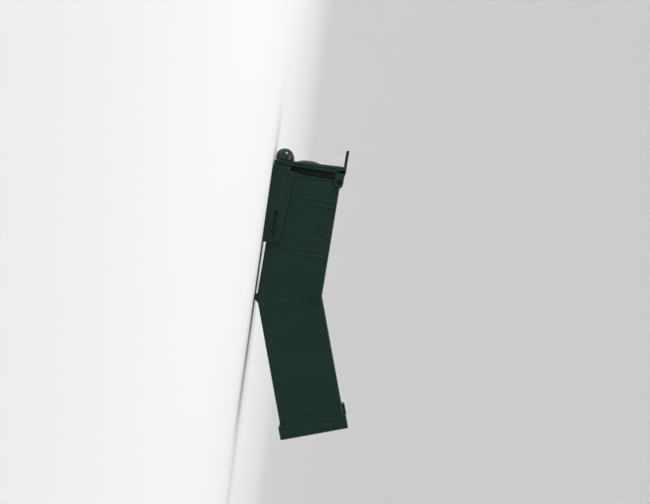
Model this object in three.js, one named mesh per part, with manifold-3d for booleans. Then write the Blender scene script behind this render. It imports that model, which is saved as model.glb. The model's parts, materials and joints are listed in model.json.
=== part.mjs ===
// Live catch trap: a square tunnel bent in the middle, which tips back when a mouse walks past the bend.
// Millimetres, +Z up. The trap stands on its stilts and its fulcrum rib, with its front towards -X.
import * as THREE from 'three';
import { mergeVertices } from 'three/addons/utils/BufferGeometryUtils.js';
import Module from 'manifold-3d';

const wasm = await Module();
wasm.setup();

// ---- Driving dimensions ----
const DEG = Math.PI / 180;
const BEND = 19.6 * DEG; // angle between the two halves of the tunnel
const FRONT_PITCH = 1.1 * DEG; // how far the front half points up when the trap stands on a floor
const TUBE = 36; // outside height and width of the tunnel
const WALL = 1.6;
const FRONT_LENGTH = 68.9; // from the bend to the mouth
const REAR_LENGTH = 76; // from the bend to the rear end, under the cap
const GAP = 0.3; // clearance between separate pieces
const FLOOR_DEPTH = 19.75; // from the tunnel's centre line down to the floor, at the bend
const SIDE_GAP = 0.8; // clearance between the tunnel's sides and the door's arms
const ARM = 1.6; // thickness of the door's ears and stilts
const PIVOT_X = -67.7;
const PIVOT_Z = 17;
const PIN_RADIUS = 1;
const DOOR_LEAN = 2.7 * DEG; // the door's top leans forward of its foot
const DOOR_TOP = 20.1;
const DOOR_FOOT = -20.6;
const DOOR_BACK_X = -72.6; // the back of the door's rim
const DOOR_PLATE = 2;
const DOOR_FACE_X = -75.8; // the outer face, level with the centre line
const DOOR_RIM = 1.7; // width of the rim round the door's recessed back
const STILT_REAR_X = -28.3;
const STILT_FRONT_X = -72.2;
const PEG_Z = -15.2; // the peg through the door at each stilt, and the knob over it
const PEG_Y = 15.6;
const PEG_RADIUS = 2.4;
const CAP_START = 70.4; // where the cap's skirt starts, from the bend
const CAP_END = 78.3;
const CAP_SKIRT = 1;

// ---- Sizes worked out from them ----
const HALF = TUBE / 2;
const INNER = HALF - WALL;
const ARM_IN = HALF + SIDE_GAP;
const ARM_OUT = ARM_IN + ARM;
const floorAt = (x) => -FLOOR_DEPTH + x * Math.tan(FRONT_PITCH);
const doorFaceAt = (z) => DOOR_FACE_X - z * Math.tan(DOOR_LEAN);

// ---- Geometry helpers: outlines are [x, z] pairs, seen from the trap's left side ----
function solid(geometry) {
  const bare = geometry.clone();
  bare.deleteAttribute('normal');
  bare.deleteAttribute('uv');
  const merged = mergeVertices(bare.index ? bare.toNonIndexed() : bare, 1e-4);
  const vertProperties = new Float32Array(merged.attributes.position.array);
  const triVerts = new Uint32Array(merged.index.array);
  return new wasm.Manifold(new wasm.Mesh({ numProp: 3, vertProperties, triVerts }));
}

function shapeOf(points) {
  if (points instanceof THREE.Shape) {
    return points;
  }
  return new THREE.Shape(points.map(([x, z]) => new THREE.Vector2(x, z)));
}

// An outline swept across the trap, from y0 to y1.
function slab(points, y0, y1) {
  const sweep = { depth: y1 - y0, bevelEnabled: false, curveSegments: 10 };
  const geometry = new THREE.ExtrudeGeometry(shapeOf(points), sweep);
  geometry.rotateX(Math.PI / 2);
  geometry.translate(0, y1, 0);
  return solid(geometry);
}

// The same outline between two distances from the middle, on the left (-1) or the right (+1).
function sideSlab(points, near, far, side) {
  return side > 0 ? slab(points, near, far) : slab(points, -far, -near);
}

function box(x0, x1, y0, y1, z0, z1) {
  return slab([[x0, z0], [x1, z0], [x1, z1], [x0, z1]], y0, y1);
}

// A round bar across the trap, its axis at x, z.
function crossBar(x, z, radius, y0, y1, segments = 32) {
  const geometry = new THREE.CylinderGeometry(radius, radius, y1 - y0, segments);
  geometry.translate(x, (y0 + y1) / 2, z);
  return solid(geometry);
}

// A shape turned round an axis along -X from the point x, y, z.
// Its profile gives [distance, radius] pairs.
function turned(profile, x, y, z, segments = 32) {
  const geometry = new THREE.LatheGeometry(profile.map(([d, r]) => new THREE.Vector2(r, d)), segments);
  geometry.rotateZ(Math.PI / 2);
  geometry.translate(x, y, z);
  return solid(geometry);
}

// The outline of an upright slot with round ends, from z0 to z1.
function oblong(x0, x1, z0, z1) {
  const radius = (x1 - x0) / 2;
  const middle = (x0 + x1) / 2;
  const shape = new THREE.Shape();
  shape.moveTo(x0, z0 + radius);
  shape.absarc(middle, z0 + radius, radius, Math.PI, 2 * Math.PI, false);
  shape.absarc(middle, z1 - radius, radius, 0, Math.PI, false);
  return shape;
}

// A point of the rear half, at a distance from the bend and a height over the rear centre line.
function rearPoint(distance, height) {
  const x = distance * Math.cos(BEND) - height * Math.sin(BEND);
  const z = distance * Math.sin(BEND) + height * Math.cos(BEND);
  return [x, z];
}

// The bent outline between two heights over the centre line, from front to rear.
function bentBand(low, high, front, rear) {
  const bendLow = [-low * Math.tan(BEND / 2), low];
  const bendHigh = [-high * Math.tan(BEND / 2), high];
  return [[-front, low], bendLow, rearPoint(rear, low), rearPoint(rear, high), bendHigh, [-front, high]];
}

// ---- Tunnel: a left and a right shell, which meet in the middle ----
const SEAM = GAP / 2; // from the middle of the trap to each shell's edge
const KNUCKLE_RADIUS = 2.6;
const KNUCKLE_DEPTH = 5;
const PIN_CLEARANCE = 0.2;
const FINGER_RIBS = [ // each pair of upright ribs on a side wall: x from, x to, z from, z to
  [-56.8, -52.6, -0.9, 17.1],
  [-27.9, -24.3, -6.2, 17.1],
];
const FINGER_RIB_WIDTH = 0.7;
const FINGER_RIB_HEIGHT = 0.35;
const RIB_LAND = [2.2, 3.8]; // the flat that stands on the floor, from the bend
const TOOTH_HEIGHT = 0.45;
const TONGUE = 0.9; // thickness of the seam's tongue
const TONGUE_ROOT = 2.4; // how far the tongue is rooted in the left shell, from the middle
const TONGUE_REACH = 1.6; // how far it reaches behind the right shell
const TONGUE_FRONT = FRONT_LENGTH - 6;
const TONGUE_REAR = REAR_LENGTH - 12;

function fingerRibs([x0, x1, z0, z1], side) {
  const near = HALF - GAP;
  const far = HALF + FINGER_RIB_HEIGHT;
  const rib = (x) => sideSlab(oblong(x, x + FINGER_RIB_WIDTH, z0, z1), near, far, side);
  return rib(x0).add(rib(x1 - FINGER_RIB_WIDTH));
}

function hingeKnuckle(side) {
  const near = Math.min(side * HALF, side * (HALF - KNUCKLE_DEPTH));
  return crossBar(PIVOT_X, PIVOT_Z, KNUCKLE_RADIUS, near, near + KNUCKLE_DEPTH);
}

function pinBore(side) {
  const radius = PIN_RADIUS + PIN_CLEARANCE;
  const inner = HALF - KNUCKLE_DEPTH - 1;
  const [start, end] = side > 0 ? [inner, ARM_OUT] : [-ARM_OUT, -inner];
  return crossBar(PIVOT_X, PIVOT_Z, radius, start, end);
}

// The rib under the bend that the trap tips over: a low ridge with a flat land on the floor.
function fulcrumRib(side) {
  const [landFront, landRear] = RIB_LAND;
  const outline = [
    [landFront - 1.6, -HALF + GAP], [landFront, floorAt(landFront)],
    [landRear, floorAt(landRear)], [landRear + 2.4, -HALF + 1.4],
  ];
  return sideSlab(outline, SEAM, HALF, side);
}

// A low tooth on the side wall, which the stilt's slot drops over to keep the door shut.
function latchTooth(side) {
  const outline = [[-45.9, -15.5], [-44.3, -15.3], [-44.3, -14.3], [-45.9, -14.1]];
  return sideSlab(outline, HALF - GAP, HALF + TOOTH_HEIGHT, side);
}

// The left shell's tongue, behind the seam in the roof (+1) or the floor (-1).
function tongue(level) {
  const near = level * (INNER - GAP);
  const far = near - level * TONGUE;
  const root = level * (INNER + GAP);
  const band = (a, b) => bentBand(Math.min(a, b), Math.max(a, b), TONGUE_FRONT, TONGUE_REAR);
  const lip = slab(band(far, near), -TONGUE_ROOT, TONGUE_REACH);
  return lip.add(slab(band(far, root), -TONGUE_ROOT, -GAP));
}

function shell(side) {
  const overrun = 10;
  const outside = sideSlab(bentBand(-HALF, HALF, FRONT_LENGTH, REAR_LENGTH), SEAM, HALF, side);
  const hollow = bentBand(-INNER, INNER, FRONT_LENGTH + overrun, REAR_LENGTH + overrun);
  let body = outside.subtract(sideSlab(hollow, -1, INNER, side));
  body = body.add(hingeKnuckle(side));
  body = body.add(fulcrumRib(side));
  body = body.add(latchTooth(side));
  for (const pair of FINGER_RIBS) {
    body = body.add(fingerRibs(pair, side));
  }
  return body.subtract(pinBore(side));
}

function leftShell() {
  return shell(-1).add(tongue(1)).add(tongue(-1));
}

// ---- Door: panel with ears, lift tab, dome and back frame ----
const TAB_LOW = 18.4;
const TAB_REACH = 10;
const TAB_HALF_WIDTH = 9;
const EAR_LENGTH = 2.6; // from the door's face back to the ear's root
const EAR_LEVEL = 18; // the height at which the ear's root is measured
const EAR_CLEARANCE = 0.15; // round the pin, in the ear
const DOME_Z = -1.7;
const DOME_PROFILE = [[-1, 0], [-1, 7.3], [0, 7.3], [1, 6.3], [1.7, 4.6], [2.1, 2.4], [2.2, 0]];
const DOME_SINK = 0.15; // how far the dome's edge is set into the leaning face
const FRAME_REAR_X = -69.3; // the frame on the door's back that fills the space in front of the mouth
const FRAME_HALF = 10.5; // it stands between the knuckles and between the pegs
const FRAME_LOW = -14;
const FRAME_HIGH = 15.6;
const FRAME_WALL = 1.4;

function panelOutline() {
  return [
    [doorFaceAt(DOOR_FOOT), DOOR_FOOT], [DOOR_BACK_X, DOOR_FOOT],
    [DOOR_BACK_X, DOOR_TOP], [doorFaceAt(DOOR_TOP), DOOR_TOP],
  ];
}

// The space in the door's back, inside its rim.
function panelRecess() {
  const low = DOOR_FOOT + DOOR_RIM;
  const high = DOOR_TOP - DOOR_RIM;
  const half = ARM_OUT - DOOR_RIM;
  const outline = [
    [doorFaceAt(low) + DOOR_PLATE, low], [0, low],
    [0, high], [doorFaceAt(high) + DOOR_PLATE, high],
  ];
  return slab(outline, -half, half);
}

function earOutline() {
  const radius = KNUCKLE_RADIUS;
  const root = doorFaceAt(EAR_LEVEL) + EAR_LENGTH;
  const shape = new THREE.Shape();
  shape.moveTo(root, PIVOT_Z - radius);
  shape.lineTo(PIVOT_X, PIVOT_Z - radius);
  shape.absarc(PIVOT_X, PIVOT_Z, radius, -Math.PI / 2, Math.PI / 2, false);
  shape.lineTo(root, PIVOT_Z + radius);
  return shape;
}

function earBore(side) {
  const near = ARM_IN - 1;
  const far = ARM_OUT + 1;
  const [start, end] = side > 0 ? [near, far] : [-far, -near];
  return crossBar(PIVOT_X, PIVOT_Z, PIN_RADIUS + EAR_CLEARANCE, start, end);
}

function liftTab() {
  const root = doorFaceAt(TAB_LOW) + 1;
  const tip = doorFaceAt(TAB_LOW) - TAB_REACH;
  return box(tip, root, -TAB_HALF_WIDTH, TAB_HALF_WIDTH, TAB_LOW, DOOR_TOP);
}

function backFrame() {
  const root = doorFaceAt(0) + 1;
  const inner = FRAME_HALF - FRAME_WALL;
  const low = FRAME_LOW + FRAME_WALL;
  const high = FRAME_HIGH - FRAME_WALL;
  const outside = box(root, FRAME_REAR_X, -FRAME_HALF, FRAME_HALF, FRAME_LOW, FRAME_HIGH);
  const inside = box(root - 5, FRAME_REAR_X + 5, -inner, inner, low, high);
  return outside.subtract(inside);
}

function pegHole(side) {
  const radius = PEG_RADIUS + GAP;
  const profile = [[-6, 0], [-6, radius], [6, radius], [6, 0]];
  return turned(profile, doorFaceAt(PEG_Z), side * PEG_Y, PEG_Z);
}

function doorPanel() {
  let body = slab(panelOutline(), -ARM_OUT, ARM_OUT).subtract(panelRecess());
  body = body.add(turned(DOME_PROFILE, doorFaceAt(DOME_Z) + DOME_SINK, 0, DOME_Z));
  body = body.add(backFrame());
  body = body.add(liftTab());
  for (const side of [-1, 1]) {
    body = body.add(sideSlab(earOutline(), ARM_IN, ARM_OUT, side));
    body = body.subtract(pegHole(side));
    body = body.subtract(earBore(side));
  }
  return body;
}

// ---- Stilts: the arms that hold the door up, pegged through its lower corners ----
const FOOT_THICK = 1.8; // the upright flange behind the door
const FOOT_TOP = -10.6;
const FOOT_X = -72; // where the flange's height over the floor is measured
const PEG_LENGTH = 7.6;
const SLOT_OUTLINE = [[-46.3, -15.8], [-32.5, -15.6], [-32.5, -13.9], [-46.3, -13.9]];
const KNOB_RADIUS = 5;
const KNOB_SKIRT = 2; // the straight part of the knob, before its dome
const KNOB_HEIGHT = 6.7;
const KNOB_POCKET = 3.4;
const PIN_RECESS = 1;

function stiltOutline() {
  const front = STILT_FRONT_X;
  const toe = STILT_REAR_X - 1;
  const shape = new THREE.Shape();
  shape.moveTo(front, floorAt(front));
  shape.lineTo(toe, floorAt(toe));
  shape.lineTo(STILT_REAR_X, floorAt(STILT_REAR_X) + 1.2);
  shape.lineTo(STILT_REAR_X, -13.6);
  shape.quadraticCurveTo(STILT_REAR_X, -10.4, STILT_REAR_X - 3.2, -10.4);
  shape.lineTo(-69.2, -8.7);
  shape.quadraticCurveTo(-69.8, -11.4, -71, -11.4);
  shape.lineTo(front, -11.4);
  return shape;
}

function stilt(side) {
  const footBack = STILT_FRONT_X + FOOT_THICK;
  const footLow = floorAt(FOOT_X) + 0.5;
  const foot = [
    [STILT_FRONT_X, footLow], [footBack, footLow],
    [footBack, FOOT_TOP], [STILT_FRONT_X, FOOT_TOP],
  ];
  const peg = [[0, 0], [0, PEG_RADIUS], [PEG_LENGTH, PEG_RADIUS], [PEG_LENGTH, 0]];
  let body = sideSlab(stiltOutline(), ARM_IN, ARM_OUT, side);
  body = body.add(sideSlab(foot, PEG_Y - 4, ARM_OUT - 0.2, side));
  body = body.subtract(sideSlab(SLOT_OUTLINE, ARM_IN - 1, ARM_OUT + 1, side));
  return body.add(turned(peg, footBack - 0.5, side * PEG_Y, PEG_Z));
}

// The round cap pressed over each peg, on the door's outer face.
function pegKnob(side) {
  const bore = PEG_RADIUS + GAP;
  const profile = [[0, bore], [0, KNOB_RADIUS]];
  const steps = 8;
  for (let i = 0; i < steps; i += 1) {
    const angle = (i / steps) * Math.PI / 2;
    const distance = KNOB_SKIRT + (KNOB_HEIGHT - KNOB_SKIRT) * Math.sin(angle);
    profile.push([distance, KNOB_RADIUS * Math.cos(angle)]);
  }
  profile.push([KNOB_HEIGHT, 0], [KNOB_POCKET, 0], [KNOB_POCKET, bore], [0, bore]);
  return turned(profile, doorFaceAt(PEG_Z + KNOB_RADIUS) - GAP, side * PEG_Y, PEG_Z);
}

function hingePin(side) {
  const near = HALF - KNUCKLE_DEPTH + 0.6;
  const far = ARM_OUT - PIN_RECESS;
  const [start, end] = side > 0 ? [near, far] : [-far, -near];
  return crossBar(PIVOT_X, PIVOT_Z, PIN_RADIUS, start, end);
}

// ---- End cap, in the rear half's own frame: x is the distance from the bend ----
const CAP_HALF = HALF + GAP + CAP_SKIRT;
const CAP_PLATE = 1.6;
const CAP_PLATE_IN = CAP_END - CAP_PLATE;
const PLUG_DEPTH = 6.5; // the square plug that goes into the tunnel
const PLUG_HALF = INNER - GAP;
const PLUG_WALL = 1;
const LOUVRES_Z = [1.5, 6, 10.5];
const LOUVRE_HALF_WIDTH = 8;
const LOUVRE_HALF_HEIGHT = 0.9;
const CLIP_HALF_WIDTH = 7;
const CLIP_FRONT = 64.8;
const CLIP_BEAD_CLEARANCE = 0.06; // between the clip's bead and the roof
const DAM_HEIGHT = 4;

function squareBlock(half, x0, x1) {
  return box(x0, x1, -half, half, -half, half);
}

// The thumb clip on the cap's top, with a bead under it that grips the roof.
function capClip() {
  const low = HALF + GAP;
  const high = CAP_HALF + 0.1;
  const root = CAP_START + 1;
  const beadLow = HALF + CLIP_BEAD_CLEARANCE;
  const outline = [
    [root, low], [67.3, low], [67.1, beadLow], [66.1, beadLow], [65.9, low],
    [CLIP_FRONT, low], [CLIP_FRONT, HALF + 1], [CLIP_FRONT + 0.6, high], [root, high],
  ];
  return slab(outline, -CLIP_HALF_WIDTH, CLIP_HALF_WIDTH);
}

// A low wall across the plug that keeps the bait at the very end.
function baitDam() {
  const front = CAP_PLATE_IN - PLUG_DEPTH;
  const half = PLUG_HALF - 0.5;
  return box(front, front + 1, -half, half, -half, -PLUG_HALF + DAM_HEIGHT);
}

function endCap() {
  const plugStart = CAP_PLATE_IN - PLUG_DEPTH;
  const hollow = squareBlock(PLUG_HALF - PLUG_WALL, plugStart - 5, CAP_PLATE_IN);
  const plug = squareBlock(PLUG_HALF, plugStart, CAP_END - 0.5).subtract(hollow);
  let body = squareBlock(CAP_HALF, CAP_START, CAP_END);
  body = body.subtract(squareBlock(HALF + GAP, CAP_START - 5, CAP_PLATE_IN));
  body = body.add(plug).add(capClip()).add(baitDam());
  for (const z of LOUVRES_Z) {
    const [low, high] = [z - LOUVRE_HALF_HEIGHT, z + LOUVRE_HALF_HEIGHT];
    const louvre = box(CAP_PLATE_IN - 1, CAP_END + 1, -LOUVRE_HALF_WIDTH, LOUVRE_HALF_WIDTH, low, high);
    body = body.subtract(louvre);
  }
  return body;
}

// ---- Materials ----
const green = (hex, roughness) => new THREE.MeshStandardMaterial({ color: hex, roughness, metalness: 0 });
const shellGreen = green('#1f362c', 0.42);
const doorGreen = green('#1c3027', 0.4);
const capGreen = green('#1e352b', 0.45);
const pinGreen = green('#16261f', 0.45);

function part(name, body, material) {
  const { vertProperties, triVerts } = body.getMesh();
  const geometry = new THREE.BufferGeometry();
  geometry.setAttribute('position', new THREE.BufferAttribute(new Float32Array(vertProperties), 3));
  geometry.setIndex(new THREE.BufferAttribute(new Uint32Array(triVerts), 1));
  geometry.computeVertexNormals();
  const mesh = new THREE.Mesh(geometry, material);
  mesh.name = name;
  return mesh;
}

// ---- Assembly ----
const tunnel = new THREE.Group();
tunnel.add(part('left_shell', leftShell(), shellGreen));
tunnel.add(part('right_shell', shell(1), shellGreen));

const door = new THREE.Group();
door.add(part('door_panel', doorPanel(), doorGreen));
for (const [side, name] of [[-1, 'left'], [1, 'right']]) {
  door.add(part(`${name}_stilt`, stilt(side), doorGreen));
  door.add(part(`${name}_stilt_knob`, pegKnob(side), doorGreen));
  door.add(part(`${name}_hinge_pin`, hingePin(side), pinGreen));
}

const rear = new THREE.Group();
rear.rotation.y = -BEND;
rear.add(part('end_cap', endCap(), capGreen));

const standing = new THREE.Group();
standing.rotation.y = FRONT_PITCH;
standing.add(tunnel, door, rear);

// The origin is under the middle of the trap, on the floor.
const trap = new THREE.Group();
trap.add(standing);
trap.updateMatrixWorld(true);
const extent = new THREE.Box3().setFromObject(trap, true);
standing.position.set(-(extent.min.x + extent.max.x) / 2, 0, -extent.min.z);

export default trap;
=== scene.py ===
"""Live catch trap: a bent square tunnel of dark green plastic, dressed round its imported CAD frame."""
import json
import math

import bmesh
import bpy
from mathutils import Matrix, Vector


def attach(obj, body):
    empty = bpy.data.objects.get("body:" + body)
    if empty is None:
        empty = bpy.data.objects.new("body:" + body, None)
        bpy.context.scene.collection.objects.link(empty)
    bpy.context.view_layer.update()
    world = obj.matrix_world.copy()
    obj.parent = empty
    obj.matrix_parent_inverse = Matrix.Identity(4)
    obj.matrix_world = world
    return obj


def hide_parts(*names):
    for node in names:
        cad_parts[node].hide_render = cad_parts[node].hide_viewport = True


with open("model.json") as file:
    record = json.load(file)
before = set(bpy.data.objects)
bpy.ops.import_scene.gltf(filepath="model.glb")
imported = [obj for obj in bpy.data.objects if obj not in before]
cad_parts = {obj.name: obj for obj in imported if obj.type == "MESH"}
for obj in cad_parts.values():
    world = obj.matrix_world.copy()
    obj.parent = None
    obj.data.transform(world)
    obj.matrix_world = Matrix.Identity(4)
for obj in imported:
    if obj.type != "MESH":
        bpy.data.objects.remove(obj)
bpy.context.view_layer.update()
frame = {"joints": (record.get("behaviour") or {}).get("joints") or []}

# ---- Sizes in millimetres, in the frame of the trap's front half ----
# x is minus the way from the bend to the mouth, z is the height over the tunnel's centre line.
MM = 0.001
PITCH = math.radians(1.1)  # the front half points up this much when the trap stands
HALF = 18.0  # half the tunnel's height and width
WALL = 1.6
INNER = HALF - WALL
MOUTH = 68.9  # from the bend to the mouth
REAR_END = 76.0  # from the bend to the rear end, under the cap
GAP = 0.3  # between separate pieces
SEAM = 0.05  # from the middle to each shell's edge
FLOOR_DEPTH = 19.75  # from the centre line down to the floor, at the bend
PIVOT = (-67.7, 17.0)
KNUCKLE_RADIUS = 2.6
KNUCKLE_DEPTH = 5.0
PIN_RADIUS = 1.0
ARM_IN = 18.8  # the inner and outer faces of the door's ears and stilts
ARM_OUT = 20.4
DOOR_FACE = -75.8  # level with the centre line
DOOR_BACK = -72.6
DOOR_LEAN = math.radians(2.7)
DOOR_TOP = 20.1
DOOR_FOOT = -20.6
PEG = (15.6, -15.2)  # distance from the middle, and height, of the pegs through the door
PEG_RADIUS = 2.4
STILT_REAR = -28.3
STILT_FRONT = -72.2
CAP_START = 70.4
CAP_END = 78.3
CAP_HALF = 19.3
CAP_PLATE_IN = 76.7  # the inner face of the cap's end plate


# ---- Where that frame stands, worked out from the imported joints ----
def joint(name):
    return next(j for j in frame["joints"] if j["name"] == name)


slide = Vector(joint("cap_slide")["axis"])
BEND = math.atan2(slide.z, slide.x) + PITCH
pivot_world = Vector(joint("door_hinge")["pos_m"])
TURN = Matrix.Rotation(PITCH, 4, "Y")
pivot_local = Vector((PIVOT[0], 0, PIVOT[1]))
FRONT = (
    Matrix.Translation(pivot_world) @ TURN @ Matrix.Scale(MM, 4) @ Matrix.Translation(-pivot_local)
)
REAR = FRONT @ Matrix.Rotation(-BEND, 4, "Y")


def floor_at(x):
    return -FLOOR_DEPTH + x * math.tan(PITCH)


def door_face(z):
    return DOOR_FACE - z * math.tan(DOOR_LEAN)


def rear_point(distance, height):
    """A point of the rear half in the front half's frame."""
    cosine, sine = math.cos(BEND), math.sin(BEND)
    return (distance * cosine - height * sine, distance * sine + height * cosine)


# ---- Outlines: lists of (x, z) ----
def arc(cx, cz, radius, start, stop, steps=10):
    """Points round a centre, from one angle in degrees to another."""
    turns = [math.radians(start + (stop - start) * i / steps) for i in range(steps + 1)]
    return [(cx + radius * math.cos(t), cz + radius * math.sin(t)) for t in turns]


def oblong(x0, x1, z0, z1, steps=12):
    """An upright slot with round ends."""
    r, cx = (x1 - x0) / 2, (x0 + x1) / 2
    return arc(cx, z0 + r, r, 180, 360, steps) + arc(cx, z1 - r, r, 0, 180, steps)


def rounded(points, radius, steps=6):
    """The outline with each corner rounded; radius is one number or one for each corner."""
    radii = radius if isinstance(radius, (list, tuple)) else [radius] * len(points)
    out = []
    for i, (px, pz) in enumerate(points):
        corner = Vector((px, pz))
        before = Vector(points[i - 1]) - corner
        after = Vector(points[(i + 1) % len(points)]) - corner
        half = before.angle(after) / 2
        r = radii[i]
        if r <= 0:
            out.append((px, pz))
            continue
        reach = min(r / math.tan(half), before.length * 0.49, after.length * 0.49)
        r = reach * math.tan(half)
        centre = corner + (before.normalized() + after.normalized()).normalized() * (r / math.sin(half))
        start = corner + before.normalized() * reach - centre
        sweep = start.angle_signed(corner + after.normalized() * reach - centre)
        for k in range(steps + 1):
            turned = start.copy()
            turned.rotate(Matrix.Rotation(-sweep * k / steps, 2))
            out.append(tuple(centre + turned))
    return out


def bent_band(low, high, front, rear):
    """The bent outline between two heights over the tunnel's centre line."""
    lean = math.tan(BEND / 2)
    return [
        (-front, low), (-low * lean, low), rear_point(rear, low),
        rear_point(rear, high), (-high * lean, high), (-front, high),
    ]


# ---- Solids, made in millimetres ----
def hold(bm, name="work"):
    mesh = bpy.data.meshes.new(name)
    bmesh.ops.recalc_face_normals(bm, faces=bm.faces)
    bm.to_mesh(mesh)
    bm.free()
    obj = bpy.data.objects.new(name, mesh)
    bpy.context.scene.collection.objects.link(obj)
    return obj


def prism(outline, y0, y1, edge=0.0, steps=3):
    """An outline swept across the trap, with its edges rounded by edge millimetres."""
    bm = bmesh.new()
    ring = [bm.verts.new((x, y0, z)) for x, z in outline]
    face = bm.faces.new(ring)
    swept = bmesh.ops.extrude_face_region(bm, geom=[face])
    moved = [v for v in swept["geom"] if isinstance(v, bmesh.types.BMVert)]
    bmesh.ops.translate(bm, verts=moved, vec=(0, y1 - y0, 0))
    bmesh.ops.recalc_face_normals(bm, faces=bm.faces)
    if edge > 0:
        sharp = [e for e in bm.edges if e.calc_face_angle(0) > math.radians(35)]
        bmesh.ops.bevel(
            bm, geom=sharp, offset=edge, segments=steps, profile=0.5, affect="EDGES", clamp_overlap=True
        )
    return hold(bm)


def side_prism(outline, near, far, side, edge=0.0, steps=3):
    """The same between two distances from the middle, on the left (-1) or the right (+1)."""
    low, high = sorted((side * near, side * far))
    return prism(outline, low, high, edge, steps)


def box(x0, x1, y0, y1, z0, z1, edge=0.0, steps=3):
    return prism([(x0, z0), (x1, z0), (x1, z1), (x0, z1)], y0, y1, edge, steps)


def turned(profile, centre, axis, segments=64):
    """A profile of (distance, radius) turned round an axis through centre."""
    bm = bmesh.new()
    along = Vector(axis).normalized()
    across = along.orthogonal().normalized()
    other = along.cross(across)
    rings = []
    for distance, radius in profile:
        at = Vector(centre) + along * distance
        if radius < 1e-6:
            rings.append([bm.verts.new(at)])
            continue
        angles = [2 * math.pi * k / segments for k in range(segments)]
        spokes = [across * math.cos(a) + other * math.sin(a) for a in angles]
        rings.append([bm.verts.new(at + spoke * radius) for spoke in spokes])
    for first, second in zip(rings, rings[1:]):
        count = max(len(first), len(second))
        for k in range(count if count > 1 else 0):
            n = (k + 1) % count
            corners = [
                first[k % len(first)], first[n % len(first)],
                second[n % len(second)], second[k % len(second)],
            ]
            bm.faces.new(list(dict.fromkeys(corners)))
    bmesh.ops.remove_doubles(bm, verts=bm.verts, dist=1e-5)
    return hold(bm)


def apply(obj):
    """Bakes an object's modifiers into its mesh."""
    depsgraph = bpy.context.evaluated_depsgraph_get()
    old = obj.data
    obj.data = bpy.data.meshes.new_from_object(obj.evaluated_get(depsgraph))
    obj.modifiers.clear()
    bpy.data.meshes.remove(old)
    return obj


def combine(base, other, operation):
    modifier = base.modifiers.new("join", "BOOLEAN")
    modifier.operation = operation
    modifier.solver = "EXACT"
    modifier.object = other
    apply(base)
    bpy.data.objects.remove(other)
    return base


def add(base, *others):
    for other in others:
        combine(base, other, "UNION")
    return base


def cut(base, *others):
    for other in others:
        combine(base, other, "DIFFERENCE")
    return base


def soften(obj, width):
    """Rounds the edges that are still sharp."""
    bm = bmesh.new()
    bm.from_mesh(obj.data)
    bmesh.ops.remove_doubles(bm, verts=bm.verts, dist=1e-4)
    bmesh.ops.dissolve_limit(bm, angle_limit=math.radians(0.4), verts=bm.verts, edges=bm.edges)
    bm.to_mesh(obj.data)
    bm.free()
    modifier = obj.modifiers.new("edges", "BEVEL")
    modifier.width = width
    modifier.segments = 2
    modifier.limit_method = "ANGLE"
    modifier.angle_limit = math.radians(32)
    modifier.use_clamp_overlap = True
    modifier.miter_outer = "MITER_ARC"
    return apply(obj)


# ---- Materials ----
def node(tree, kind, **values):
    made = tree.nodes.new(kind)
    for key, value in values.items():
        if key in made.inputs:
            made.inputs[key].default_value = value
        else:
            setattr(made, key, value)
    return made


def noise(tree, coordinates, scale, detail=2.0):
    made = node(tree, "ShaderNodeTexNoise", Scale=scale, Detail=detail)
    tree.links.new(coordinates, made.inputs["Vector"])
    return made.outputs["Fac"]


def spread(tree, source, low, high):
    """Spreads the middle of a noise over the values from low to high."""
    made = node(tree, "ShaderNodeMapRange")
    for name, value in (("From Min", 0.3), ("From Max", 0.7), ("To Min", low), ("To Max", high)):
        made.inputs[name].default_value = value
    tree.links.new(source, made.inputs["Value"])
    return made.outputs["Result"]


def plastic(name, color, roughness, grain=0.09, shine=0.22):
    """Satin moulded plastic: fine mould grain over a slightly cloudy colour."""
    material = bpy.data.materials.new(name)
    material.use_nodes = True
    tree = material.node_tree
    shader = tree.nodes["Principled BSDF"]
    where = node(tree, "ShaderNodeTexCoord").outputs["Object"]
    cloud = noise(tree, where, 45, 3)
    cloudiness = 0.12
    tone = node(tree, "ShaderNodeMix", data_type="RGBA")
    tone.inputs["A"].default_value = (*[c * (1 - cloudiness) for c in color], 1)
    tone.inputs["B"].default_value = (*[c * (1 + cloudiness) for c in color], 1)
    tree.links.new(spread(tree, cloud, 0, 1), tone.inputs["Factor"])
    tree.links.new(tone.outputs["Result"], shader.inputs["Base Color"])
    patches = noise(tree, where, 160, 4)
    tree.links.new(spread(tree, patches, roughness - 0.03, roughness + 0.03), shader.inputs["Roughness"])
    fine = noise(tree, where, 3200, 2)
    swirl = noise(tree, where, 90, 2)
    height = node(tree, "ShaderNodeMath", operation="MULTIPLY_ADD")
    height.inputs[1].default_value = 3.0
    tree.links.new(swirl, height.inputs[0])
    tree.links.new(fine, height.inputs[2])
    bump = node(tree, "ShaderNodeBump", Strength=grain, Distance=0.00006)
    tree.links.new(height.outputs["Value"], bump.inputs["Height"])
    tree.links.new(bump.outputs["Normal"], shader.inputs["Normal"])
    shader.inputs["IOR"].default_value = 1.49
    shader.inputs["Specular IOR Level"].default_value = shine
    return material


SHELL_GREEN = plastic("shell_green", (0.0026, 0.0182, 0.0113), 0.36, shine=0.21)
DOOR_GREEN = plastic("door_green", (0.0028, 0.0168, 0.0108), 0.32, shine=0.24)
KNOB_GREEN = plastic("knob_green", (0.003, 0.016, 0.0105), 0.2, grain=0.04, shine=0.5)
CAP_GREEN = plastic("cap_green", (0.003, 0.0196, 0.0125), 0.34, shine=0.22)
PIN_GREEN = plastic("pin_green", (0.0025, 0.012, 0.008), 0.45)


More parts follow.
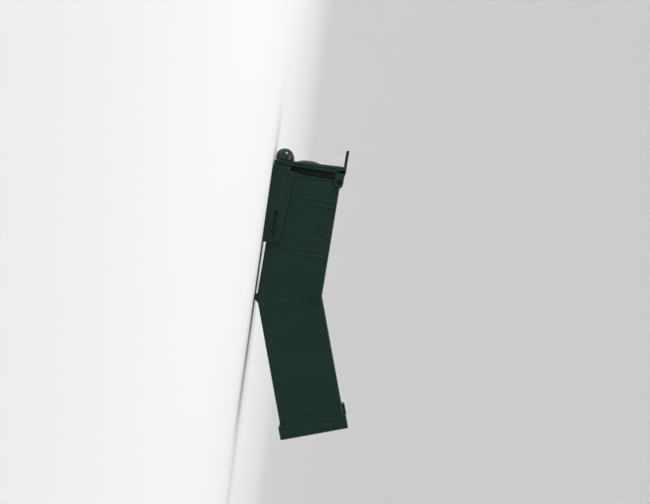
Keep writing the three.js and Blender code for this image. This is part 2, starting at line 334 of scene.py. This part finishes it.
# ---- Placing a finished piece ----
def place(obj, name, body, material, nodes, where=FRONT):
    obj.name = name
    obj.data.name = name
    obj.data.transform(where)
    obj.data.materials.clear()
    obj.data.materials.append(material)
    obj.data.polygons.foreach_set("use_smooth", [True] * len(obj.data.polygons))
    obj.data.set_sharp_from_angle(angle=math.radians(34))
    weighted = obj.modifiers.new("normals", "WEIGHTED_NORMAL")
    weighted.keep_sharp = True
    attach(obj, body)
    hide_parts(*nodes)
    return obj


# ---- Tunnel shells ----
FINGER_RIBS = (  # each pair: x from, x to, z from, z to, height over the wall
    (-56.8, -52.6, -0.9, 17.1, 0.5),
    (-27.9, -24.3, -6.2, 17.1, 0.32),
)
FINGER_RIB_WIDTH = 0.9
SINK_RINGS = ((-40.4, 12.0, 3.0), (0.0, 10.0, 2.3), (-0.6, 14.5, 2.0))  # x, z, radius
RING_BEAD = 0.42
RING_HEIGHT = 0.36
SINK_DOTS = ((2.8, -3.2), (-9.8, -5.8))
RIB_LAND = (2.2, 3.8)  # where the fulcrum rib stands on the floor
ROOT = 0.6  # how deep small beads are rooted in the wall


def shell_outline():
    """The bent tunnel from the side; the mouth's edge curves forward near the floor."""
    band = bent_band(-HALF, HALF, MOUTH, REAR_END)
    lip = MOUTH + 1.0
    curve = ((0, -1.5), (0.15, -3.4), (0.5, -6.0), (0.85, -8.2), (1.0, -11.0))
    return [(-lip, -HALF), *band[1:], *[(-MOUTH - forward, z) for forward, z in curve]]


def ring(x, z, radius, side):
    """A low round bead on a side wall."""
    profile = [
        (-ROOT, 0), (-ROOT, radius + RING_BEAD), (0, radius + RING_BEAD),
        (RING_HEIGHT, radius + RING_BEAD / 2), (RING_HEIGHT, radius - RING_BEAD / 2),
        (0, radius - RING_BEAD), (-0.02, 0),
    ]
    return turned(profile, (x, side * HALF, z), (0, side, 0), 48)


def dot(x, z, radius, height, side):
    profile = [(-ROOT, 0), (-ROOT, radius), (0, radius), (height, radius * 0.55), (height * 1.1, 0)]
    return turned(profile, (x, side * HALF, z), (0, side, 0), 32)


def finger_ribs(x0, x1, z0, z1, height, side):
    """A pair of upright ribs with rounded tops and ends."""
    near, far, edge = HALF - 0.5, HALF + height, min(height, 0.4)
    for x in (x0, x1 - FINGER_RIB_WIDTH):
        yield side_prism(oblong(x, x + FINGER_RIB_WIDTH, z0, z1), near, far, side, edge, 4)


def fulcrum(side):
    """The rib that the trap tips over, with a flat land on the floor."""
    front, rear = RIB_LAND
    chamfer, rise = 0.25, 0.2
    outline = [
        (front - 1.9, -HALF + GAP), (front - chamfer, floor_at(front) + rise), (front, floor_at(front)),
        (rear, floor_at(rear)), (rear + chamfer, floor_at(rear) + rise), (rear + 2.6, -HALF + 1.4),
    ]
    return side_prism(outline, SEAM, HALF - 0.8, side)


def knuckle(side):
    radius, depth = KNUCKLE_RADIUS, KNUCKLE_DEPTH
    profile = [
        (0, 0), (0, radius - 0.3), (0.3, radius), (depth - 0.1, radius), (depth, radius - 0.1), (depth, 0),
    ]
    return turned(profile, (PIVOT[0], side * (HALF - depth), PIVOT[1]), (0, side, 0), 48)


def bore(radius, near, far, side):
    """A hole along the hinge, to be cut out."""
    profile = [(0, 0), (0, radius), (far - near, radius), (far - near, 0)]
    return turned(profile, (PIVOT[0], side * near, PIVOT[1]), (0, side, 0), 48)


def tooth(side):
    """The latch tooth, a low ramp on the side wall inside the stilt's slot."""
    outline = rounded([(-45.9, -15.5), (-44.3, -15.3), (-44.3, -14.3), (-45.9, -14.1)], 0.15, 3)
    return side_prism(outline, HALF - 0.4, HALF + 0.42, side, 0.15, 2)


def mouth_bead(side):
    """The slightly proud band round the mouth, on the side and the roof."""
    width, top, inner, low = 1.5, HALF + 0.4, HALF - 0.5, -30
    outer = [
        (-MOUTH, -HALF + 0.9), (-MOUTH + width, -HALF + 0.9), (-MOUTH + width, top), (-MOUTH, top),
    ]
    hollow = [(-MOUTH - 1, low), (-MOUTH + 3, low), (-MOUTH + 3, inner), (-MOUTH - 1, inner)]
    return cut(side_prism(outer, SEAM, top, side, 0.3, 3), side_prism(hollow, -1, inner, side))


def rear_stop(side):
    """The short rib and the dot near the rear end, where the cap's skirt stops."""
    front, rear, low, high = 65.2, 65.7, 7.9, 15.0
    corners = ((front, low), (rear, low), (rear, high), (front, high))
    rib = side_prism([rear_point(*c) for c in corners], HALF - 0.4, HALF + 0.15, side, 0.08, 2)
    return rib, dot(*rear_point(59.7, -14.0), 0.7, 0.22, side)


def round_long_edges(obj, side, radius):
    """Rounds the edges between a shell's side wall and its roof and floor."""
    bm = bmesh.new()
    bm.from_mesh(obj.data)
    outer = [e for e in bm.edges if all(abs(v.co.y - side * HALF) < 1e-3 for v in e.verts)]
    long_ones = [e for e in outer if e.calc_length() > 40]
    bmesh.ops.bevel(bm, geom=long_ones, offset=radius, segments=5, profile=0.5, affect="EDGES")
    bm.to_mesh(obj.data)
    bm.free()
    return obj


def tongue(way):
    """The left shell's tongue behind the seam, in the roof (+1) or the floor (-1)."""
    near, far, root = way * (INNER - GAP), way * (INNER - 1.2), way * (INNER + GAP)
    front, rear, left = MOUTH - 6, REAR_END - 12, -2.4
    reach = prism(bent_band(*sorted((far, near)), front, rear), left, 1.6)
    return add(reach, prism(bent_band(*sorted((far, root)), front, rear), left, -GAP))


def shell(side):
    overrun = 10
    body = round_long_edges(side_prism(shell_outline(), SEAM, HALF, side), side, 1.1)
    hollow = bent_band(-INNER, INNER, MOUTH + overrun, REAR_END + overrun)
    cut(body, side_prism(hollow, -1, INNER, side))
    add(body, mouth_bead(side), fulcrum(side), knuckle(side), tooth(side))
    cut(body, bore(PIN_RADIUS + 0.2, HALF - KNUCKLE_DEPTH - 1, ARM_OUT, side))
    if side < 0:
        add(body, tongue(1), tongue(-1))
    soften(body, 0.14)
    for values in FINGER_RIBS:
        add(body, *finger_ribs(*values, side))
    add(body, *[ring(*values, side) for values in SINK_RINGS])
    add(body, *[dot(x, z, 0.9, 0.34, side) for x, z in SINK_DOTS])
    add(body, *rear_stop(side))
    return body


# ---- Door ----
DOOR_RIM = 1.7  # width of the rim round the recessed back
DOOR_PLATE = 2.0
BEAD_EDGE = 0.7  # from the door's edge to the border of its outer face
BEAD_WIDTH = 1.3
DOME_Z = -1.7
FRAME_REAR = -69.3  # the frame on the door's back, in front of the mouth
TAB_LOW = 18.4


def sloped(low, high, front, back):
    """The outline between two heights and two offsets behind the door's leaning face."""
    return [
        (door_face(low) + front, low), (door_face(low) + back, low),
        (door_face(high) + back, high), (door_face(high) + front, high),
    ]


def door_panel():
    foot, top = DOOR_FOOT + DOOR_RIM, DOOR_TOP - DOOR_RIM
    outline = [
        (door_face(DOOR_FOOT), DOOR_FOOT), (DOOR_BACK, DOOR_FOOT),
        (DOOR_BACK, DOOR_TOP), (door_face(DOOR_TOP), DOOR_TOP),
    ]
    recess = [
        (door_face(foot) + DOOR_PLATE, foot), (0, foot), (0, top), (door_face(top) + DOOR_PLATE, top),
    ]
    body = prism(outline, -ARM_OUT, ARM_OUT, 0.6, 4)
    cut(body, prism(recess, -ARM_OUT + DOOR_RIM, ARM_OUT - DOOR_RIM))
    add(body, back_frame(), door_bead(), door_dome(), lift_tab())
    for side in (-1, 1):
        cut(body, side_groove(side))
    for side in (-1, 1):
        add(body, ear(side))
        cut(body, peg_hole(side), bore(PIN_RADIUS + 0.15, ARM_IN - 1, ARM_OUT + 1, side), ear_dish(side))
    return soften(body, 0.13)


def side_groove(side):
    """The parting groove along the door's side edge."""
    low, high, half, depth = DOOR_FOOT + 0.8, DOOR_TOP - 1, 0.4, 0.55
    foot, top = [(door_face(z) + DOOR_BACK) / 2 - 0.2 for z in (low, high)]
    outline = [(foot - half, low), (foot + half, low), (top + half, high), (top - half, high)]
    return side_prism(outline, ARM_OUT - depth, ARM_OUT + 1, side)


def door_bead():
    """The raised border round the door's outer face."""
    proud, half = 0.25, ARM_OUT - BEAD_EDGE
    low, high = DOOR_FOOT + BEAD_EDGE, DOOR_TOP - 2.3
    band = prism(sloped(low, high, -proud, 1), -half, half, 0.15, 2)
    inside = sloped(low + BEAD_WIDTH, high - BEAD_WIDTH, -3, 0)
    return cut(band, prism(inside, -half + BEAD_WIDTH, half - BEAD_WIDTH))


def door_dome():
    """The shallow dome in the middle of the door."""
    radius, rise, steps = 7.3, 2.2, 16
    profile = [(-1, 0), (-1, radius)]
    for i in range(steps):
        angle = i / steps * math.pi / 2
        profile.append((rise * math.sin(angle), radius * math.cos(angle)))
    profile.append((rise, 0))
    outward = (-math.cos(DOOR_LEAN), 0, -math.sin(DOOR_LEAN))
    return turned(profile, (door_face(DOME_Z) + 0.05, 0, DOME_Z), outward, 64)


def lift_tab():
    """The tab that a finger lifts the door by, with three grooves on its top."""
    half, reach = 9, 10
    root, tip = door_face(TAB_LOW) + 1, door_face(TAB_LOW) - reach
    corners = [(root, TAB_LOW), (tip, TAB_LOW), (tip, DOOR_TOP), (root, DOOR_TOP)]
    body = prism(rounded(corners, [0, 0.6, 0.6, 0], 5), -half, half, 0.4, 4)
    for k in range(3):
        groove = arc(tip + 2 + 1.5 * k, DOOR_TOP + 0.22, 0.42, 180, 360, 8)
        cut(body, prism(groove, 1.5 - half, half - 1.5))
    return body


def back_frame():
    """The frame on the door's back that fills the space in front of the mouth."""
    wall, half, low, high = 1.4, 10.5, -14.0, 15.6
    root = door_face(0) + 1
    body = box(root, FRAME_REAR, -half, half, low, high, 0.3, 3)
    return cut(body, box(root - 5, FRAME_REAR + 5, wall - half, half - wall, low + wall, high - wall))


def ear(side):
    """The door's ear beside the tunnel, round the hinge pin."""
    x, z = PIVOT
    radius = KNUCKLE_RADIUS
    front = door_face(18) + 1.6
    outline = [
        (front, z - radius - 0.8), (front + 2.2, z - radius),
        *arc(x, z, radius, -90, 90, 18), (front, z + radius),
    ]
    return side_prism(outline, ARM_IN, ARM_OUT, side, 0.2, 2)


def ear_dish(side):
    """The dished seat round the pin, so that a ring is left round it."""
    depth = 0.35
    profile = [(0, 0), (0, 1.5), (depth, 1.6), (2, 1.6), (2, 0)]
    return turned(profile, (PIVOT[0], side * (ARM_OUT - depth), PIVOT[1]), (0, side, 0), 48)


def peg_hole(side):
    y, z = PEG
    radius = PEG_RADIUS + GAP
    profile = [(-6, 0), (-6, radius), (6, radius), (6, 0)]
    return turned(profile, (door_face(z), side * y, z), (-1, 0, 0), 48)


# ---- Stilts, knobs and pins ----
FOOT_THICK = 1.8  # the upright flange behind the door
FOOT_TOP = -10.6
PEG_LENGTH = 7.6


def stilt_outline(inset=0.0):
    """The stilt from the side, or the same drawn in by inset."""
    rear, front = STILT_REAR - inset, STILT_FRONT + inset
    outline = [
        (front, floor_at(STILT_FRONT) + inset), (rear - 0.9, floor_at(STILT_REAR - 1) + inset),
        (rear, floor_at(STILT_REAR) + 1.2 + inset * 0.5), (rear, -10.4 - inset),
        (-69.2 + inset, -8.7 - inset), (-69.8 + inset, -11.4 - inset), (front, -11.4 - inset),
    ]
    return rounded(outline, [0, 0.6, 0.6, 3.0 - inset, 0.4, 0.9, 0], 8)


def stilt(side):
    """The arm that holds the door up: raised rims, a slot with its own rim, a flange and a peg."""
    back, low = STILT_FRONT + FOOT_THICK, floor_at(-72) + 0.5
    foot = [(STILT_FRONT, low), (back, low), (back, FOOT_TOP), (STILT_FRONT, FOOT_TOP)]
    slot_rim = rounded([(-47.2, -16.6), (-31.6, -16.4), (-31.6, -13.1), (-47.2, -13.1)], 0.6, 5)
    slot_corners = [(-46.3, -15.8), (-32.5, -15.6), (-32.5, -13.9), (-46.3, -13.9)]
    slot = rounded(slot_corners, [0.1, 0.9, 0.9, 0.1], 5)
    peg = [
        (0, 0), (0, PEG_RADIUS), (PEG_LENGTH - 0.3, PEG_RADIUS),
        (PEG_LENGTH, PEG_RADIUS - 0.3), (PEG_LENGTH, 0),
    ]
    body = side_prism(stilt_outline(), ARM_IN, ARM_OUT, side, 0.5, 4)
    cut(body, side_prism(stilt_outline(1.7), ARM_OUT - 0.45, ARM_OUT + 1, side))
    add(body, side_prism(foot, PEG[0] - 4, ARM_OUT - 0.2, side, 0.3, 3))
    add(body, side_prism(slot_rim, ARM_IN + 0.4, ARM_OUT - 0.05, side, 0.15, 2))
    cut(body, side_prism(slot, ARM_IN - 1, ARM_OUT + 1, side))
    add(body, turned(peg, (back - 0.5, side * PEG[0], PEG[1]), (-1, 0, 0), 48))
    return soften(body, 0.2)


def knob(side):
    """A domed button with a fine groove round its skirt."""
    radius, skirt, height, steps = 5.0, 2.1, 6.7, 16
    bore_radius, pocket = PEG_RADIUS + GAP, 3.4
    profile = [
        (0, bore_radius), (0, radius - 0.5), (0.3, radius - 0.1), (0.5, radius), (1.0, radius),
        (1.1, radius - 0.2), (1.3, radius - 0.2), (1.4, radius),
    ]
    for i in range(steps):
        angle = i / steps * math.pi / 2
        profile.append((skirt + (height - skirt) * math.sin(angle), radius * math.cos(angle)))
    profile += [(height, 0), (pocket, 0), (pocket, bore_radius), (0, bore_radius)]
    y, z = PEG
    return turned(profile, (door_face(z + radius) - 0.05, side * y, z), (-1, 0, 0), 72)


def pin(side):
    near, far = HALF - KNUCKLE_DEPTH + 0.6, ARM_OUT - 1.0
    length, chamfer = far - near, 0.3
    profile = [
        (0, 0), (0, PIN_RADIUS - chamfer), (chamfer, PIN_RADIUS),
        (length - chamfer, PIN_RADIUS), (length, PIN_RADIUS - chamfer), (length, 0),
    ]
    return turned(profile, (PIVOT[0], side * near, PIVOT[1]), (0, side, 0), 40)


# ---- End cap, in the rear half's frame: x is the distance from the bend ----
PLUG_HALF = INNER - GAP
PLUG_FRONT = CAP_PLATE_IN - 6.5


def square_block(half, x0, x1, edge=0.0, steps=3):
    return box(x0, x1, -half, half, -half, half, edge, steps)


def across_plate(outline, x0, x1):
    """An outline of (y, z) pushed along the rear half."""
    made = prism(outline, -x1, -x0)
    made.data.transform(Matrix.Rotation(math.radians(90), 4, "Z"))
    return made


def rounded_square(half, radius):
    return rounded([(-half, -half), (half, -half), (half, half), (-half, half)], radius, 8)


def skirt_groove(x):
    """A fine groove round the skirt."""
    width, depth = 0.6, 0.35
    outer = square_block(CAP_HALF + 1, x - width / 2, x + width / 2)
    return cut(outer, square_block(CAP_HALF - depth, x - width, x + width))


def clip():
    """The thumb clip on the cap's top, with the bead under it and its finger grooves."""
    low, top, half, root = HALF + 0.1, CAP_HALF + 0.3, 7, CAP_START + 1
    outline = [
        (root, low), (67.3, low), (67.1, HALF + 0.06), (66.1, HALF + 0.06), (65.9, low),
        (64.8, low), (64.8, HALF + 1), (65.4, top), (root, top),
    ]
    body = prism(outline, -half, half)
    for k in range(3):
        groove = arc(66.3 + 1.3 * k, top + 0.2, 0.38, 180, 360, 8)
        cut(body, prism(groove, 1.2 - half, half - 1.2))
    return body


def dam():
    """The low wall across the plug that keeps the bait at the end."""
    half = PLUG_HALF - 0.5
    return box(PLUG_FRONT, PLUG_FRONT + 1, -half, half, -half, 4 - PLUG_HALF)


def end_border():
    """The raised square line on the cap's end face."""
    outer = across_plate(rounded_square(14, 3), CAP_END - 0.5, CAP_END)
    return cut(outer, across_plate(rounded_square(13, 2.4), CAP_END - 1, CAP_END + 1))


def end_cap():
    body = square_block(CAP_HALF, CAP_START, CAP_END, 0.8, 4)
    cut(body, square_block(HALF + GAP, CAP_START - 5, CAP_PLATE_IN))
    plug = square_block(PLUG_HALF, PLUG_FRONT, CAP_END - 0.5)
    add(body, cut(plug, square_block(PLUG_HALF - 1, PLUG_FRONT - 5, CAP_PLATE_IN)))
    add(body, clip(), dam())
    for x in (CAP_START + 1.7, CAP_END - 2.0):
        cut(body, skirt_groove(x))
    for z in (1.5, 6.0, 10.5):
        louvre = rounded([(-8, z - 0.9), (8, z - 0.9), (8, z + 0.9), (-8, z + 0.9)], 0.85, 6)
        cut(body, across_plate(louvre, CAP_PLATE_IN - 1, CAP_END + 1))
    add(body, end_border())
    return soften(body, 0.14)


# ---- Making every piece ----
SIDES = ((-1, "left"), (1, "right"))
for side, name in SIDES:
    place(shell(side), f"{name}_tunnel_shell", "tunnel", SHELL_GREEN, [f"{name}_shell"])
    place(stilt(side), f"{name}_door_stilt", "door", DOOR_GREEN, [f"{name}_stilt"])
    place(knob(side), f"{name}_door_knob", "door", KNOB_GREEN, [f"{name}_stilt_knob"])
    place(pin(side), f"{name}_pin", "door", PIN_GREEN, [f"{name}_hinge_pin"])
place(door_panel(), "entrance_door", "door", DOOR_GREEN, ["door_panel"])
place(end_cap(), "bait_cap", "cap", CAP_GREEN, ["end_cap"], REAR)


# ---- Stage, lights and camera ----
def pale():
    material = bpy.data.materials.new("pale_stage")
    material.use_nodes = True
    shader = material.node_tree.nodes["Principled BSDF"]
    shader.inputs["Base Color"].default_value = (0.86, 0.86, 0.85, 1)
    shader.inputs["Roughness"].default_value = 0.8
    shader.inputs["Specular IOR Level"].default_value = 0.15
    return material


def stage():
    """A pale round floor that sweeps up into a wall all round."""
    flat, sweep, top, bends, spin = 1.8, 2.0, 3.5, 12, 64
    profile = [(0, 0), (0.5, 0), (flat, 0)]
    for i in range(1, bends + 1):
        angle = math.pi / 2 * i / bends
        profile.append((flat + sweep * math.sin(angle), sweep * (1 - math.cos(angle))))
    profile.append((flat + sweep, top))
    floor = turned([(height, radius) for radius, height in profile], (0, 0, 0), (0, 0, 1), spin)
    floor.name = "pale_floor"
    floor.data.polygons.foreach_set("use_smooth", [True] * len(floor.data.polygons))
    floor.data.materials.append(pale())


def softbox(name, place_at, aim, size, power):
    light = bpy.data.lights.new(name, "AREA")
    light.shape = "RECTANGLE"
    light.size, light.size_y = size
    light.energy = power
    obj = bpy.data.objects.new(name, light)
    bpy.context.scene.collection.objects.link(obj)
    obj.location = place_at
    obj.rotation_euler = (Vector(aim) - Vector(place_at)).to_track_quat("-Z", "Y").to_euler()


def lights():
    """A soft light over the trap, a low key past its mouth that grazes its side, and a weak rim light."""
    softbox("overhead", (0.0, -0.5, 1.6), (0, 0, 0), (1.2, 1.2), 6)
    softbox("front_key", (-1.35, -0.85, 0.42), (0, 0, 0.03), (0.4, 0.4), 19)
    softbox("rear_rim", (1.0, 1.2, 1.0), (0, 0, 0.03), (0.9, 0.9), 3)
    world = bpy.data.worlds.new("studio")
    world.use_nodes = True
    background = world.node_tree.nodes["Background"]
    background.inputs["Color"].default_value = (1, 1, 1, 1)
    background.inputs["Strength"].default_value = 0.7
    bpy.context.scene.world = world


VIEW_WIDTH = 0.3647  # what the picture spans, in metres, at the trap
VIEW_DISTANCE = 1.4
VIEW_ROLL = math.radians(8.2)
BEND_LEFT = 0.0200  # how far the bend stands left of the picture's middle
BEND_DOWN = 0.0252  # and below it


def camera():
    """Looks square at the trap's left side, rolled so that the mouth points up, as it hangs in a shop."""
    up = Vector((-math.cos(VIEW_ROLL), 0, -math.sin(VIEW_ROLL)))
    right = Vector((-math.sin(VIEW_ROLL), 0, math.cos(VIEW_ROLL)))
    back = Vector((0, -1, 0))
    side_wall = FRONT @ Vector((0, -HALF, 0))
    spot = side_wall + right * BEND_LEFT + up * BEND_DOWN + back * VIEW_DISTANCE
    data = bpy.data.cameras.new("camera")
    data.sensor_width = 36
    data.lens = data.sensor_width * VIEW_DISTANCE / VIEW_WIDTH
    data.clip_start = 0.05
    data.clip_end = 20
    obj = bpy.data.objects.new("camera", data)
    bpy.context.scene.collection.objects.link(obj)
    axes = Matrix((right, up, back)).transposed().to_4x4()
    obj.matrix_world = Matrix.Translation(spot) @ axes
    bpy.context.scene.camera = obj


stage()
lights()
camera()
bpy.context.scene.view_settings.view_transform = "Standard"
